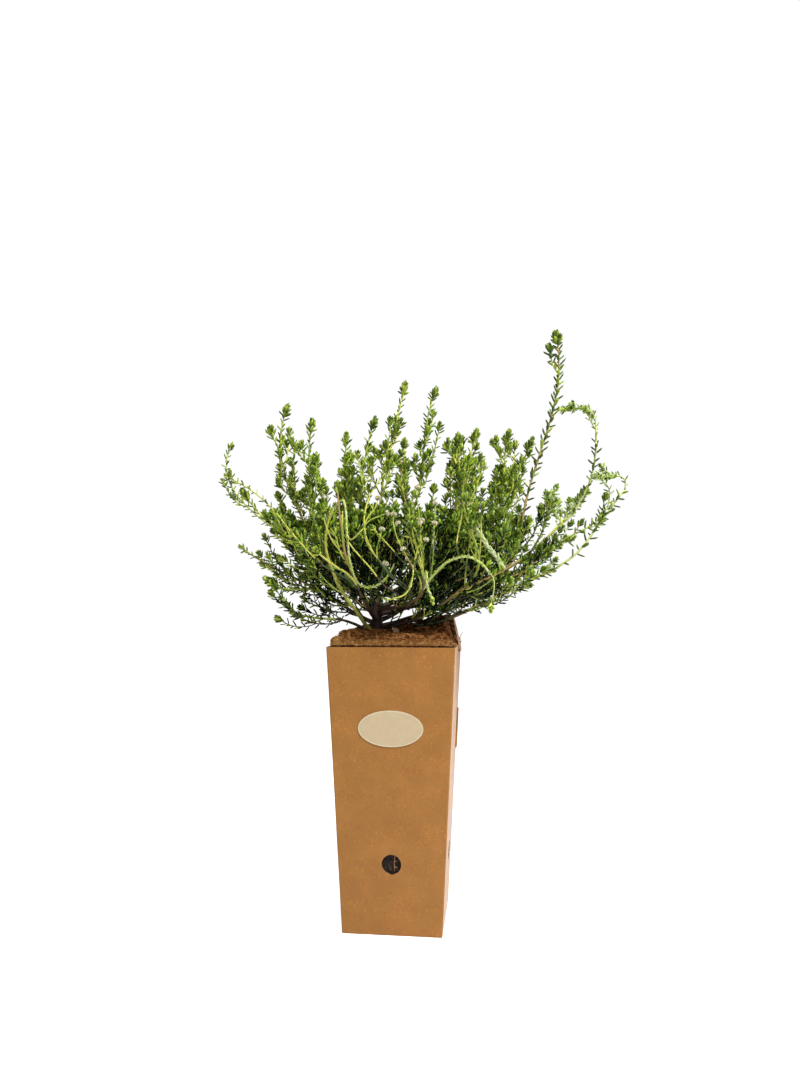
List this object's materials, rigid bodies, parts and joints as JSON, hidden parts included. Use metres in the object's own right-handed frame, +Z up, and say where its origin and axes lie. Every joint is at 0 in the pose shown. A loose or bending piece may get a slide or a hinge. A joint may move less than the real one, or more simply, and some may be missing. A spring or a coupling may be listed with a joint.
{
  "type": "potted phylica ericoides shrub",
  "caption": "Young heath-leaved evergreen shrub with arching leafy shoots and small cream flower heads, growing in a tall tapered kraft carton under a coir mat.",
  "frame": {"origin": "middle of the carton's flat underside, at the level that the pot stands on", "axes": "+Z up; -Y out of the front wall with the oval label; +X out of the right wall with the hanging ear"},
  "size_m": [0.4711, 0.2936, 0.645],
  "materials": {
    "kraft_carton": "matte",
    "label_paper": "satin",
    "potting_soil": "matte",
    "coir_fibre": "matte",
    "bark": "matte",
    "bough_bark": "matte",
    "foliage": "satin"
  },
  "bodies": {
    "root": {"carton": "kraft_carton", "oval_label": "label_paper", "soil_block": "potting_soil", "coir_mat": "coir_fibre", "trunk": "bark", "far_left_bough": "bough_bark", "left_mid_bough": "bough_bark", "left_low_bough": "bough_bark", "left_tall_bough": "bough_bark", "mid_left_bough": "bough_bark", "centre_bough": "bough_bark", "centre_right_bough": "bough_bark", "right_inner_bough": "bough_bark", "right_mid_bough": "bough_bark", "tall_bough": "bough_bark", "arch_bough": "bough_bark", "arc_bough": "bough_bark", "front_left_bough": "bough_bark", "front_bough": "bough_bark", "front_right_bough": "bough_bark", "back_left_bough": "bough_bark", "back_bough": "bough_bark", "back_right_bough": "bough_bark", "loop_stem": "bough_bark", "left_hook": "foliage", "left_reach": "foliage", "left_tall": "foliage", "left_inner": "foliage", "left_low_reach": "foliage", "left_low": "foliage", "left_skirt": "foliage", "mid_left": "foliage", "mid_left_back": "foliage", "centre_tall": "foliage", "centre_right_tall": "foliage", "right_inner": "foliage", "right_inner_back": "foliage", "right_mid": "foliage", "right_mid_back": "foliage", "tallest": "foliage", "arch_rise": "foliage", "arch_hook": "foliage", "cluster_low": "foliage", "cluster_back": "foliage", "arc_rise": "foliage", "arc_hook": "foliage", "loop_fall": "foliage", "loop_curl": "foliage", "front_left": "foliage", "front_left_low": "foliage", "front_centre": "foliage", "front_arching": "foliage", "front_right": "foliage", "front_low_right": "foliage", "hanging": "foliage", "back_left": "foliage", "back_left_inner": "foliage", "back_centre": "foliage", "back_right_inner": "foliage", "back_right": "foliage"}
  },
  "joints": []
}
